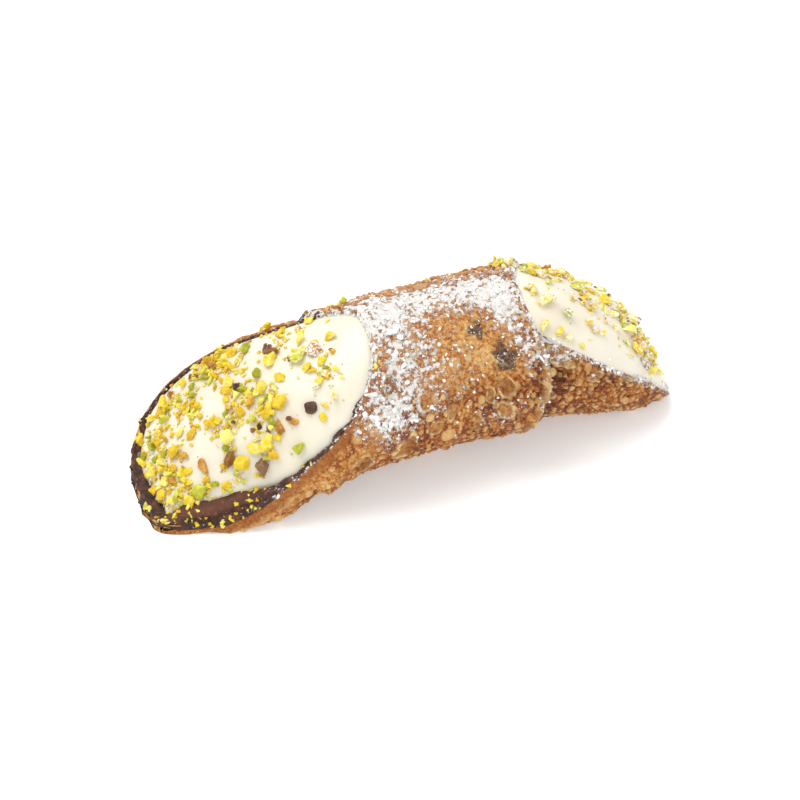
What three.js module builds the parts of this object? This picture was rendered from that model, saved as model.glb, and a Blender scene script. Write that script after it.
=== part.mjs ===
// A filled cannoli lying on its back: a disc of fried dough wrapped into a tube, its two
// scooped ends open upwards, lined with chocolate and filled right through with ricotta cream.
// Millimetres, +X along the tube, +Y to its back, +Z up, origin on the table under its middle.
// Angles go round the tube from +Y: 90 is its top, 180 its front, 270 the line it rests on.
import * as THREE from 'three';

// Driving dimensions
const halfLength = 68.3; // from the middle to each tip of the shell
const axisHeight = 19.4; // tube axis above the table, a little less than its radius, so it rests flat
const meanRadius = 19.3; // outside of one layer of dough
const sag = 0.9; // how much fuller the tube is towards its lower front
const sagAngle = 225;
const wall = 2.4; // one layer of fried dough
const liningWall = 1.0; // chocolate brushed on its inside and over its rims
const liningLip = 0.7; // how far the chocolate on a rim stops short of the crust's outside
const gap = 0.35; // between neighbouring solids
const footGap = 0.75; // the same under the tube, where the layers are pressed flat
const footSkin = 1.8; // dough left under the tube where it is pressed flat on the table

// Each rim runs from its notch at the seam, over the top, to its tip on the table. The
// two powers of a side shape how the rim falls away from the notch and closes on the tip.
const rims = {
  near: {
    notchAngle: 84,
    notchX: -10.2,
    tipAngle: 262,
    tipX: -halfLength,
    front: [2.3, 1.25],
    back: [1.9, 4.0],
    corner: { angle: 240, spread: 14, reach: 8.5 }, // its lip is broad in front of the tip
  },
  far: {
    notchAngle: 128,
    notchX: 27.4,
    tipAngle: 264,
    tipX: halfLength,
    front: [1.38, 2.45],
    back: [2.9, 4.0],
    corner: { angle: 240, spread: 14, reach: 0 },
  },
};

// Where the disc's two sides overlap, the outer flap lies over the inner one as a tongue
const flap = {
  thickness: 1.7,
  edgeAngle: 45, // its free edge, along the back of the tube
  tipAngle: 255, // where the tongue under it ends, low on the front
  shoulderAngle: 150, // past here the tongue narrows
  overAngle: 130, // short of here it reaches both rims
  frontTaper: 20, // degrees over which its near side draws back from the rim past that
  halfWidth: 33,
  midX: -4,
  softEdge: 3, // length over which its side edges fall away
  nearTaper: 12, // length over which that side thins towards the rim
};

// Lips that open outwards as the dough fries: on both sides of the near end, low in front at the far end
const lips = [
  { rim: 'near', angle: 238, spread: 22, size: 4.6, length: 30 },
  { rim: 'near', angle: 330, spread: 52, size: 6.2, length: 48 },
  { rim: 'far', angle: 236, spread: 26, size: 2.2, length: 30 },
];

// How far the lower front hangs out or draws in along the tube: x and millimetres at its lowest angle
const hang = {
  angle: 236,
  spread: 28,
  stops: [
    [-68, -1.5],
    [-60, -0.7],
    [-48, 2.3],
    [-38, 4.0],
    [-32, 2.6],
    [-22, -2.4],
    [-12, -2.8],
    [0, -3.6],
    [16, -4.2],
    [24, -2.2],
    [42, -0.2],
    [54, 1.0],
    [68, -0.3],
  ],
};

// A thick fold of the chocolate on the near lip, in front
const fold = { angle: 226, spread: 15, depth: 5, length: 10 };

// Low blisters, spaced round the tube by the golden angle, their radii going through five sizes
const blisters = { count: 46, goldenAngle: 137.5, radii: [3.9, 4.7, 5.5, 6.3, 7.2], height: 0.8 };

// How far the cream stands back from each rim at its notch and at its tip, and how far it domes out
const cream = {
  near: { notchInset: 0.6, tipInset: 6, dome: 5.5 },
  far: { notchInset: 0.6, tipInset: 3, dome: 6.5 },
};

// Facets
const around = 48; // round the tube; the last one is the narrow step at the flap's edge
const stepAngle = 1.2;
const outerSteps = 24; // along the outside
const innerSteps = 14; // along the inside, the lining and the cream
const domeRings = 3;

const radians = Math.PI / 180;
const angles = Array.from(
  { length: around },
  (_, k) => flap.edgeAngle + stepAngle / 2 + (k * (360 - stepAngle)) / (around - 1),
);

const smooth = (t) => {
  const u = Math.min(1, Math.max(0, t));
  return u * u * (3 - 2 * u);
};

const turn = (degrees) => ((degrees % 360) + 360) % 360; // 0 to 360
const apart = (a, b) => Math.abs(turn(a - b + 180) - 180); // the lesser angle between two

function rimX(name, angle) {
  const rim = rims[name];
  const past = turn(angle - rim.notchAngle);
  const frontSpan = turn(rim.tipAngle - rim.notchAngle);
  const onFront = past <= frontSpan;
  const share = onFront ? past / frontSpan : (360 - past) / (360 - frontSpan);
  const [fall, close] = onFront ? rim.front : rim.back;
  const { angle: middle, spread, reach } = rim.corner;
  const corner = Math.sign(rim.tipX) * reach * Math.exp(-((apart(angle, middle) / spread) ** 2));
  return rim.tipX + (rim.notchX - rim.tipX) * (1 - share ** fall) ** close + corner;
}

function flapCover(x, angle) {
  const a = turn(angle);
  if (a < flap.edgeAngle || a > flap.tipAngle) return 0;
  if (a < flap.overAngle) return 1;
  const narrowing = Math.max(0, (a - flap.shoulderAngle) / (flap.tipAngle - flap.shoulderAngle));
  const width = flap.halfWidth * Math.sqrt(1 - narrowing * narrowing);
  const fromSide = width - Math.abs(x - flap.midX);
  const fromTip = (flap.tipAngle - a) * radians * meanRadius;
  const cover = smooth(Math.min(fromSide, fromTip) / flap.softEdge);
  const nearRim = smooth((x - rimX('near', angle)) / flap.nearTaper);
  const front = smooth((a - flap.overAngle) / flap.frontTaper);
  return cover * (1 - front * (1 - nearRim));
}

function blisterHeight(x, angle) {
  let height = 0;
  for (let k = 0; k < blisters.count; k += 1) {
    const centreX = halfLength * (2 * ((k + 0.5) / blisters.count) - 1);
    const across = apart(angle, k * blisters.goldenAngle) * radians * meanRadius;
    const radius = blisters.radii[(k * 3) % blisters.radii.length];
    height = Math.max(height, blisters.height * smooth(1 - Math.hypot(x - centreX, across) / radius));
  }
  return height;
}

function hangAt(x, angle) {
  const { stops } = hang;
  const sideways = Math.exp(-((apart(angle, hang.angle) / hang.spread) ** 2));
  if (x <= stops[0][0]) return stops[0][1] * sideways;
  if (x >= stops.at(-1)[0]) return stops.at(-1)[1] * sideways;
  const next = stops.findIndex(([at]) => at > x);
  const [[low, from], [high, to]] = [stops[next - 1], stops[next]];
  return THREE.MathUtils.lerp(from, to, (x - low) / (high - low)) * sideways;
}

// Radius of one bare layer of dough, with its lips
function doughRadius(x, angle) {
  const lip = lips.reduce((sum, { rim, angle: middle, spread, size, length }) => {
    const sideways = Math.exp(-((apart(angle, middle) / spread) ** 2));
    return sum + size * sideways * smooth(1 - Math.abs(x - rimX(rim, angle)) / length);
  }, 0);
  return meanRadius + sag * Math.cos((angle - sagAngle) * radians) + lip + hangAt(x, angle);
}

// The same, less the fold, for all that lies against the inside of the chocolate
function foldedRadius(x, angle) {
  const sideways = Math.exp(-((apart(angle, fold.angle) / fold.spread) ** 2));
  const inwards = smooth(1 - (x - rimX('near', angle)) / fold.length);
  return doughRadius(x, angle) - fold.depth * sideways * inwards;
}

const crustRadius = (x, angle) =>
  doughRadius(x, angle) + flap.thickness * flapCover(x, angle) + blisterHeight(x, angle);

// A point at this radius, pressed flat where it would come lower than its layer can lie
const place = (x, radius, angle, lowest) =>
  new THREE.Vector3(
    x,
    radius * Math.cos(angle * radians),
    Math.max(lowest, axisHeight + radius * Math.sin(angle * radians)),
  );

// One loop round the tube, at a share of the way from the near rim to the far rim
const loop = (share, radiusAt, inset, lowest, shift = 0) =>
  angles.map((angle) => {
    const x = THREE.MathUtils.lerp(rimX('near', angle), rimX('far', angle), share);
    return place(x + shift, radiusAt(x, angle) - inset, angle, lowest);
  });

const shares = (steps) => Array.from({ length: steps + 1 }, (_, k) => k / steps);

// Joins loops of equal length into a closed body: end to end, or to a point at each end
function body(loops, ends) {
  const points = loops.flat();
  const n = loops[0].length;
  const faces = [];
  const strips = ends ? loops.length - 1 : loops.length;
  for (let i = 0; i < strips; i += 1) {
    const a = i * n;
    const b = ((i + 1) % loops.length) * n;
    // facets split the same way whichever way the loops run, so that neighbouring bodies stay apart
    const forward = points[b].x >= points[a].x;
    for (let k = 0; k < n; k += 1) {
      const next = (k + 1) % n;
      if (forward) faces.push(a + k, a + next, b + k, a + next, b + next, b + k);
      else faces.push(a + k, a + next, b + next, a + k, b + next, b + k);
    }
  }
  if (ends) {
    const first = points.push(ends[0]) - 1;
    const last = points.push(ends[1]) - 1;
    for (let k = 0; k < n; k += 1) {
      const next = (k + 1) % n;
      faces.push(first, next, k);
      faces.push(last, (loops.length - 1) * n + k, (loops.length - 1) * n + next);
    }
  }
  const geometry = new THREE.BufferGeometry().setFromPoints(points);
  geometry.setIndex(volume(points, faces) < 0 ? faces.reverse() : faces);
  geometry.computeVertexNormals();
  return geometry;
}

function volume(points, faces) {
  let six = 0;
  for (let i = 0; i < faces.length; i += 3) {
    const [a, b, c] = [points[faces[i]], points[faces[i + 1]], points[faces[i + 2]]];
    six += a.dot(new THREE.Vector3().crossVectors(b, c));
  }
  return six / 6;
}

function shellGeometry() {
  const outside = shares(outerSteps).map((s) => loop(s, crustRadius, 0, 0));
  const inside = shares(innerSteps).map((s) => loop(1 - s, doughRadius, wall, footSkin));
  return body([...outside, ...inside]);
}

function liningGeometry() {
  const outer = wall + gap;
  const inner = outer + liningWall;
  const foot = footSkin + footGap;
  const past = gap + liningWall;
  const outside = shares(innerSteps).map((s) => loop(s, doughRadius, outer, foot));
  const inside = shares(innerSteps).map((s) => loop(1 - s, foldedRadius, inner, foot + liningWall));
  return body([
    loop(0, doughRadius, outer, foot, -gap),
    ...outside,
    loop(1, doughRadius, outer, foot, gap),
    loop(1, doughRadius, liningLip, liningLip, gap),
    loop(1, doughRadius, liningLip, liningLip, past),
    loop(1, doughRadius, inner, foot + liningWall, past),
    ...inside,
    loop(0, foldedRadius, inner, foot + liningWall, -past),
    loop(0, doughRadius, liningLip, liningLip, -past),
    loop(0, doughRadius, liningLip, liningLip, -gap),
  ]);
}

// The cream's edge at one end, on the first facet of the lining in from the rim
function creamEdge(name, rimLoop, nextLoop) {
  const { notchInset, tipInset } = cream[name];
  return rimLoop.map((point, k) => {
    const fromNotch = (1 - Math.cos((angles[k] - rims[name].notchAngle) * radians)) / 2;
    const inset = THREE.MathUtils.lerp(notchInset, tipInset, fromNotch);
    return point.clone().lerp(nextLoop[k], inset / Math.abs(nextLoop[k].x - point.x));
  });
}

// Loops that close an edge over a low dome, from the edge inwards, and the point at its crown
function dome(edge, height, outward) {
  const centre = edge.reduce((sum, p) => sum.add(p), new THREE.Vector3()).divideScalar(edge.length);
  const rise = (share) => outward.clone().multiplyScalar(height * (1 - share * share));
  const loops = Array.from({ length: domeRings }, (_, i) => {
    const share = 1 - (i + 1) / (domeRings + 1);
    return edge.map((p) => centre.clone().lerp(p, share).add(rise(share)));
  });
  return { loops, crown: centre.clone().add(rise(0)) };
}

// Unit normal of the slanting mouth at one end, from its notch to its tip
function mouthNormal(name) {
  const { notchX, tipX } = rims[name];
  const run = notchX - tipX;
  const height = 2 * meanRadius;
  return new THREE.Vector3(-height * Math.sign(run), 0, Math.abs(run)).normalize();
}

function fillingGeometry() {
  const inset = wall + liningWall + 2 * gap;
  const lowest = footSkin + liningWall + 2 * footGap;
  const loops = shares(innerSteps).map((s) => loop(s, foldedRadius, inset, lowest));
  const nearEdge = creamEdge('near', loops[0], loops[1]);
  const farEdge = creamEdge('far', loops.at(-1), loops.at(-2));
  const near = dome(nearEdge, cream.near.dome, mouthNormal('near'));
  const far = dome(farEdge, cream.far.dome, mouthNormal('far'));
  return body(
    [...near.loops.reverse(), nearEdge, ...loops.slice(1, -1), farEdge, ...far.loops],
    [near.crown, far.crown],
  );
}

function piece(name, geometry, color, roughness) {
  const mesh = new THREE.Mesh(geometry, new THREE.MeshStandardMaterial({ color, roughness, metalness: 0 }));
  mesh.name = name;
  return mesh;
}

const cannoli = new THREE.Group();
cannoli.add(piece('fried_shell', shellGeometry(), 0xb87a45, 0.75));
cannoli.add(piece('chocolate_lining', liningGeometry(), 0x4a3026, 0.45));
cannoli.add(piece('ricotta_filling', fillingGeometry(), 0xf6f2e2, 0.5));

// The origin sits on the table under the middle of the whole
const box = new THREE.Box3().setFromObject(cannoli, true);
const middle = box.getCenter(new THREE.Vector3());
cannoli.position.set(-middle.x, -middle.y, -box.min.z);

export default cannoli;
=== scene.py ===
import math

import bmesh
import bpy
import numpy as np
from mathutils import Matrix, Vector
from mathutils.bvhtree import BVHTree


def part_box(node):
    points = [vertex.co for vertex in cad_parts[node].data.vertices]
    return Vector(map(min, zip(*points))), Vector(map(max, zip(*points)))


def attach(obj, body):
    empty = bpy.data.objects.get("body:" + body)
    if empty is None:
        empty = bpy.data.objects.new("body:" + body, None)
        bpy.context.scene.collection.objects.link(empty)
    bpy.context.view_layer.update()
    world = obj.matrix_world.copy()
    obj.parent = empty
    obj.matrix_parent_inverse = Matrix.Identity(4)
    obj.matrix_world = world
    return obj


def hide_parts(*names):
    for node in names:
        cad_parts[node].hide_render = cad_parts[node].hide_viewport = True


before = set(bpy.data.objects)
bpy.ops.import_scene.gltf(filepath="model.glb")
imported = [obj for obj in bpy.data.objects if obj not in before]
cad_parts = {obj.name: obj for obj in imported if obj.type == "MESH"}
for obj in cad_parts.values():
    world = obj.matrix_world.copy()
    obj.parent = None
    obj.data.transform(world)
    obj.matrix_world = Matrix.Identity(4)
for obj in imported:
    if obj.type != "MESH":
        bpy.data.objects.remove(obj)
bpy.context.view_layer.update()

mm = 0.001
radians = math.pi / 180
rng = np.random.default_rng(7)


def smooth(t):
    t = np.clip(t, 0, 1)
    return t * t * (3 - 2 * t)


def apart(a, b):  # signed angle from b to a, in degrees
    return (np.asarray(a) - b + 180) % 360 - 180


def noise(points, cell, seed=0):
    # smooth lattice noise, -1 to 1, one random value per corner of each cell
    place = points / cell
    low = np.floor(place).astype(np.int64)
    part = place - low
    part = part ** 3 * (part * (part * 6 - 15) + 10)
    total = np.zeros(points.shape[:-1])
    for corner in range(8):
        step = np.array([corner & 1, corner >> 1 & 1, corner >> 2 & 1])
        x, y, z = np.moveaxis(low + step, -1, 0)
        mixed = (x * 73856093) ^ (y * 19349663) ^ (z * 83492791) ^ ((seed + 1) * 2654435761)
        mixed = (mixed ^ (mixed >> 13)) * 1274126177 & 0x7FFFFFFF
        value = ((mixed ^ (mixed >> 16)) & 0xFFFF) / 32767.5 - 1
        total += value * np.prod(np.where(step, part, 1 - part), axis=-1)
    return total


def layered(points, layers):
    # noise of several sizes at once: each layer is its height, its size in mm and its seed
    return sum(height * noise(points, size, seed) for height, size, seed in layers)


def bell(angle, middle, spread, power=2):
    # 1 at the middle angle, dying away over the spread to both sides
    return np.exp(-((apart(angle, middle) / spread) ** power))


def within(angle, middle, reach, fade):
    # 1 about the middle angle, fading to nothing at its reach
    return smooth((reach - np.abs(apart(angle, middle))) / fade)


def loopFaces(rows, columns, closed=False):
    # quads between neighbouring rows of points, each row running right round
    row = np.arange(rows if closed else rows - 1)[:, None] * columns
    following = (row + columns) % (rows * columns)
    k = np.arange(columns)[None, :]
    nextK = (k + 1) % columns
    return np.stack([row + k, row + nextK, following + nextK, following + k], -1).reshape(-1, 4)


def makePiece(name, points, faces, material, fields=None, shadeSmooth=True):
    mesh = bpy.data.meshes.new(name)
    mesh.from_pydata((np.asarray(points) * mm).tolist(), [], faces)
    for field, values in (fields or {}).items():
        layer = mesh.attributes.new(field, "FLOAT", "POINT")
        layer.data.foreach_set("value", np.ascontiguousarray(values, dtype=np.float32).ravel())
    mesh.polygons.foreach_set("use_smooth", [shadeSmooth] * len(mesh.polygons))
    mesh.materials.append(material)
    tidy = bmesh.new()
    tidy.from_mesh(mesh)
    bmesh.ops.recalc_face_normals(tidy, faces=tidy.faces)
    tidy.to_mesh(mesh)
    tidy.free()
    piece = bpy.data.objects.new(name, mesh)
    bpy.context.collection.objects.link(piece)
    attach(piece, "root")
    print(name, len(mesh.vertices), "points")
    return piece


def linear(hexColour):
    parts = [int(hexColour[k:k + 2], 16) / 255 for k in (1, 3, 5)]
    return [c / 12.92 if c <= 0.04045 else ((c + 0.055) / 1.055) ** 2.4 for c in parts] + [1]


def add(tree, kind, links=None, stops=None, **settings):
    # adds a node and gives back its outputs; links maps its inputs to values or to others' outputs
    made = tree.nodes.new("ShaderNode" + kind)
    for name, value in settings.items():
        setattr(made, name, value)
    for socket, value in (links or {}).items():
        if isinstance(value, bpy.types.NodeSocket):
            tree.links.new(value, made.inputs[socket])
        else:
            made.inputs[socket].default_value = value
    if stops:
        ramp = made.color_ramp.elements
        while len(ramp) < len(stops):
            ramp.new(0.5)
        for element, (place, shade) in zip(ramp, stops):
            element.position = place
            element.color = linear(shade)
    return made.outputs


def newMaterial(name):
    material = bpy.data.materials.new(name)
    material.use_nodes = True
    material.node_tree.nodes.clear()
    return material, material.node_tree


def perMm(size):  # texture scale that gives details of this many millimetres
    return 1 / (size * mm)


# the tube of dough, in mm and degrees
tube = {
    "halfLength": (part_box("fried_shell")[1].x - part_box("fried_shell")[0].x) / 2 / mm,
    "axisHeight": 19.4,
    "radius": 19.3,  # outside of one layer of dough
    "sag": 0.9,  # how much fuller it is towards its lower front
    "sagAngle": 225,
    "wall": 2.4,
}

# notch is where a rim is cut back most, at the seam; tip is its longest point, on the table
rims = {
    "near": {"notchAngle": 84, "notchX": -10.2, "tipAngle": 262, "side": -1,
             "front": (2.3, 1.25), "back": (1.9, 4.0), "corner": (240, 14, 8.5),
             "waves": [(0.45, 7, 3), (0.22, 2.6, 3)]},
    "far": {"notchAngle": 128, "notchX": 27.4, "tipAngle": 264, "side": 1,
            "front": (1.38, 2.45), "back": (2.9, 4.0), "corner": (240, 11, 0),
            "waves": [(0.45, 7, 4), (0.22, 2.6, 4)]},
}

# the outer flap of dough: its edge is at the back, and under it the inner one ends in a tongue in front
flap = {
    "thickness": 2.0,
    "edgeAngle": 45,
    "tipAngle": 255,
    "shoulderAngle": 150,
    "overAngle": 130,
    "frontTaper": 20,
    "halfWidth": 33,
    "midX": -4,
    "softEdge": 1.5,
    "seamFade": 1.4,  # degrees over which it starts at the back
    "nearTaper": 12,
    "wander": [(1.6, 8, 5), (0.5, 2.5, 6)],
}

# the flap's right-hand edge puffed up into a lumpy roll as it fried
edgeRoll = {
    "start": (118, 15),  # angle, and degrees over which it grows or ends
    "end": (218, 20),
    "inset": 1.5,
    "halfWidth": 1.25,
    "height": 2.3,
    "lumps": [(0.9, 4, 7)],
    "sugar": 0.3,
}

# lips opened by frying: rim, angle, spread, size, length
lips = [("near", 238, 22, 4.6, 30), ("near", 330, 52, 6.2, 48), ("far", 236, 26, 2.2, 30)]

# how far the lower front hangs out or draws in along the tube: x, mm at its lowest angle
hang = {
    "angle": 236,
    "spread": 28,
    "stops": [(-68, -1.5), (-60, -0.7), (-48, 2.3), (-38, 4.0), (-32, 2.6), (-22, -2.4), (-12, -2.8),
              (0, -3.6), (16, -4.2), (24, -2.2), (42, -0.2), (54, 1.0), (68, -0.3)],
}

# a thick fold of the chocolate on the near lip, in front
fold = {"angle": 226, "spread": 15, "depth": 5.0, "length": 10}


def across(angle, middle):  # signed distance round the tube, in mm
    return apart(angle, middle) * radians * tube["radius"]


def rimX(end, angle):
    # where a smooth rim lies at each angle
    rim = rims[end]
    past = (angle - rim["notchAngle"]) % 360
    frontSpan = (rim["tipAngle"] - rim["notchAngle"]) % 360
    onFront = past <= frontSpan
    share = np.where(onFront, past / frontSpan, (360 - past) / (360 - frontSpan))
    fall = np.where(onFront, rim["front"][0], rim["back"][0])
    close = np.where(onFront, rim["front"][1], rim["back"][1])
    tipX = rim["side"] * tube["halfLength"]
    middle, spread, reach = rim["corner"]
    corner = rim["side"] * reach * bell(angle, middle, spread)
    return tipX + (rim["notchX"] - tipX) * (1 - share ** fall) ** close + corner


def raggedRimX(end, angle):
    # the same with the small waves of an edge that was cut by hand and then fried
    ring = np.stack([np.cos(angle * radians), np.sin(angle * radians), 0 * angle], -1) * tube["radius"]
    return rimX(end, angle) - rims[end]["side"] * np.abs(layered(ring, rims[end]["waves"]))


def flapEdge(x, turned):
    # the flap's half width, how far its edge wanders from that, and the place on the sheet laid flat
    narrowing = np.clip((turned - flap["shoulderAngle"]) / (flap["tipAngle"] - flap["shoulderAngle"]), 0, 1)
    sheet = np.stack([x, turned * radians * tube["radius"], 0 * x], -1)
    return flap["halfWidth"] * np.sqrt(1 - narrowing ** 2), layered(sheet, flap["wander"]), sheet


def flapCover(x, angle):
    # 1 where the flap lies over the inner dough, 0 where it doesn't
    turned = angle % 360
    width, wander, _ = flapEdge(x, turned)
    fromSide = width - np.abs(x - flap["midX"]) + wander
    fromTip = (flap["tipAngle"] - turned) * radians * tube["radius"]
    cover = smooth(np.minimum(fromSide, fromTip) / flap["softEdge"])
    nearRim = smooth((x - rimX("near", angle)) / flap["nearTaper"])
    front = smooth((turned - flap["overAngle"]) / flap["frontTaper"])
    cover = cover * (1 - front * (1 - nearRim))
    seam = smooth((turned - flap["edgeAngle"] + 0.25 * wander) / flap["seamFade"])
    return np.where(turned < flap["overAngle"], seam, np.where(turned > flap["tipAngle"], 0, cover))


def flapRoll(x, angle):
    # how far the roll rises, as a share of its height
    turned = angle % 360
    width, wander, sheet = flapEdge(x, turned)
    inward = width - (x - flap["midX"]) + wander
    lumpy = np.clip(0.75 + layered(sheet, edgeRoll["lumps"]), 0, 1.5)
    (start, growing), (end, ending) = edgeRoll["start"], edgeRoll["end"]
    there = smooth((turned - start) / growing) * smooth((end - turned) / ending)
    return np.exp(-(((inward - edgeRoll["inset"]) / edgeRoll["halfWidth"]) ** 2)) * lumpy * there


def doughRadius(x, angle):
    # outside of one bare layer of dough, with its sag, its open lips and where it hangs
    radius = tube["radius"] + tube["sag"] * np.cos((angle - tube["sagAngle"]) * radians)
    for end, middle, spread, size, length in lips:
        along = smooth(1 - np.abs(x - rimX(end, angle)) / length)
        radius = radius + size * bell(angle, middle, spread) * along
    places, amounts = zip(*hang["stops"])
    return radius + np.interp(x, places, amounts) * bell(angle, hang["angle"], hang["spread"])


def foldShare(angle):
    return bell(angle, fold["angle"], fold["spread"])


def foldAt(x, angle):
    return fold["depth"] * foldShare(angle) * smooth(1 - (x - rimX("near", angle)) / fold["length"])


# width of the edge that shows between the outside of the crust and the cream, by angle
edgeWidth = {
    "near": [(20, 1.6), (72, 1.1), (110, 1.2), (150, 1.6), (195, 2.4), (230, 3.0), (262, 3.0),
             (305, 2.4), (340, 1.9)],
    "far": [(20, 1.5), (80, 1.0), (128, 0.9), (170, 1.0), (220, 1.4), (265, 1.9), (320, 1.7)],
}
edgeReach = 7  # mm over which the dough thickens from there to its full wall


def byAngle(stops, angle, blur=20):
    # a value that runs smoothly right round through the ones given at a few angles
    at = np.array([a for a, _ in stops])
    size = np.array([v for _, v in stops])
    weight = bell(np.asarray(angle)[..., None], at, blur)
    return (weight @ size) / weight.sum(-1)


def wallAt(x, angle):
    # the dough is thinner at its rims
    wall = tube["wall"]
    for end in rims:
        thin = byAngle(edgeWidth[end], angle) - chocolate["thickness"]
        away = smooth(np.abs(x - rimX(end, angle)) / edgeReach)
        wall = np.minimum(wall, thin + (tube["wall"] - thin) * away)
    return wall


def onTube(x, radius, angle, lowest=0.0):
    # points at this radius, pressed flat where they would come lower than their layer lies
    y = radius * np.cos(angle * radians)
    z = np.maximum(tube["axisHeight"] + radius * np.sin(angle * radians), lowest)
    return np.stack([x, y, z], -1)


# the solids stand centred over the origin, so the tube's axis is a little off it; a coarse grid finds it
bareAngles = np.arange(0, 360, 2.0)
bareShares = np.linspace(0, 1, 60)[:, None]
bareX = rimX("near", bareAngles) * (1 - bareShares) + rimX("far", bareAngles) * bareShares
bareY = doughRadius(bareX, bareAngles[None, :]) * np.cos(bareAngles * radians)
axisY = (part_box("fried_shell")[1].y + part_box("fried_shell")[0].y) / 2 / mm - (bareY.max() + bareY.min()) / 2
offset = np.array([0, axisY, 0])


crust = {
    "around": 310,  # points round the tube
    "along": 300,  # rows from rim to rim
    "insideRows": 8,
    "insideLowest": 1.8,  # dough left under the tube where it is pressed flat
    "edgeRows": 4,  # rows that round each rim
    "edgeBulge": 0.6,
    "edgeFade": 1.5,  # mm over which the relief dies out towards a rim
    "closeAngles": (55, 250),  # the side with the fine detail, and its share of the points round
    "closeShare": 0.72,
    "lumps": [(0.55, 15, 46), (0.4, 6.5, 37)],  # every list of layers gives height, size and seed
    "grit": [(0.16, 1.1, 41), (0.09, 0.6, 42)],
    "blisters": [  # radius from and to, tries, height for each mm of radius
        (1.3, 2.1, 90, 0.5),
        (0.7, 1.25, 1700, 0.8),
        (0.42, 0.72, 14000, 1.0),
    ],
    "spacing": 0.86,  # how far apart two blisters stand, for each mm of their radii
    "blisterRing": (0.84, 0.13),  # where its pale ring lies and how wide, as shares of its radius; the ring is partly painted highlight
    "farBrown": (16, 14),  # x where the far end turns browner and rougher, and over how many mm
    "rippleHeight": 1.0,
}

# a scorched spot's ragged edge, how far it swelled, and the sugar on it
scorched = {"edge": [(0.32, 1.8, 21), (0.34, 0.7, 26)], "reach": 1.2, "fade": 0.5, "height": 0.8,
            "sugar": 0.42}

# a broken blister's uneven outline, its flaky wall and its crumpled floor
brokenEdge = {"outline": [(0.34, 1.8, 22), (0.14, 0.7, 24)], "wall": [(0.4, 2, 23)],
              "flakes": [(1.2, 1.1, 25)], "floor": [(0.3, 0.8, 27)], "wallAt": 1.05, "wallWidth": 0.2,
              "paleWidth": 0.17}

# the lip in front of the near mouth: a smooth band at the rim, then a ridge where the skin lifted
nearLip = {"bandAngle": 185, "bandReach": 62, "ridgeAngle": 228, "ridgeSpread": 26, "ridgeInset": 3.6,
           "ridgeWander": [(1.3, 9, 28)], "ridgeLumps": [(0.9, 1.6, 29)], "ridgeHalfWidth": 0.9,
           "ridgeHeight": 0.9}

# what the material needs to know at each point of the crust
crustFields = ("lift", "ring", "tone", "hollow", "scorch", "dust", "toastAndShade", "nearSkin")

# blisters that broke open: x, angle, half sizes along and round the tube, tilt, depth, rim, sugar inside
brokenBlisters = [
    (17.5, 162, 1.8, 1.9, 0, 1.1, 1.0, 0.0),
    (-8.8, 190, 2.4, 4.2, 30, 0.5, 0.8, 0.0),
    (-19.2, 191, 1.8, 2.3, 20, 0.9, 0.9, 0.2),
    (-11.0, 143, 1.7, 2.2, 0, 0.2, 0.9, 0.5),
    (32.5, 154, 3.4, 1.8, 35, 0.1, 0.8, 0.8),
    (28.0, 182, 2.6, 2.0, 15, 0.3, 0.7, 0.45),
    (-3.5, 158, 1.3, 1.6, 0, 0.1, 0.5, 0.0),
    (3.0, 170, 1.2, 2.0, 20, 0.0, 0.5, 0.0),
    (-1.0, 178, 2.0, 1.2, -20, 0.1, 0.6, 0.0),
    (13.5, 166, 1.0, 1.9, 0, 0.1, 0.6, 0.1),
    (16.5, 178, 2.2, 1.5, 15, 0.2, 0.9, 0.35),
    (10.0, 186, 1.4, 1.2, 0, 0.2, 0.6, 0.0),
    (41.0, 174, 1.7, 1.4, 0, 0.5, 0.5, 0.45),
    (50.0, 186, 1.6, 1.2, 0, 0.5, 0.4, 0.4),
    (8.0, 20, 3.0, 3.4, 0, 1.0, 0.6, 0.1),
    (-20.0, 340, 3.6, 2.6, 20, 0.9, 0.5, 0.0),
    (36.0, 350, 2.4, 3.0, 0, 0.8, 0.5, 0.0),
]

# scorched spots: x, angle, radius
scorches = [(13.6, 121, 2.1), (18.0, 143, 2.9), (-2, 8, 2.4), (30, 318, 3.0)]

# swellings and dips of the sheet: x, angle, spread along, spread round, height
swellings = [
    (-2, 160, 7, 15, 1.0),
    (-15, 176, 6, 11, 0.8),
    (10, 178, 6, 16, -0.7),
    (19, 176, 4, 10, 0.8),
    (38, 168, 7, 12, 0.7),
    (4, 108, 12, 12, 0.5),
    (25, 146, 3.2, 7, 1.3),
    (25, 162, 3.0, 6, 1.1),
    (22, 178, 3.5, 6, 1.3),
    (19, 194, 3.5, 6, 1.0),
    (16, 208, 3.5, 6, 0.8),
    (29.5, 168, 2.2, 26, -0.9),
]

# where icing sugar lies: x, angle, spread along, spread round, how much
sugarDrifts = [
    (-7, 120, 11, 36, 0.65),
    (-14, 164, 10, 24, 0.7),
    (0, 82, 30, 24, 0.78),
    (18, 96, 12, 22, 0.42),
    (23, 114, 5.5, 30, 0.68),
    (24.5, 148, 3, 14, 0.5),
    (4, 146, 16, 26, 0.2),
    (17, 186, 8, 15, 0.55),
    (9, 152, 10, 26, 0.2),
    (-2, 196, 14, 9, 0.25),
    (-8, 30, 26, 24, 0.4),
    (34, 40, 10, 22, 0.4),
]

# how brown the dough fried, in the same way, over a middling start; two of them are painted shade: along the
# low front, and in the groove beside the flap's roll
toastAndShadeDrifts = [
    (-12, 140, 12, 46, 0.25),
    (9, 140, 9, 20, -0.28),
    # painted shade in the groove beside the flap's lumpy roll
    (28.5, 162, 4.5, 44, 0.6),
    (44, 185, 16, 30, 0.1),
    # painted shade: darker along the low front, towards the table
    (8, 224, 40, 17, 0.5),
    (-12, 176, 8, 16, 0.15),
    (6, 84, 34, 22, 0.3),
    (0, 0, 40, 40, 0.1),
]


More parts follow.
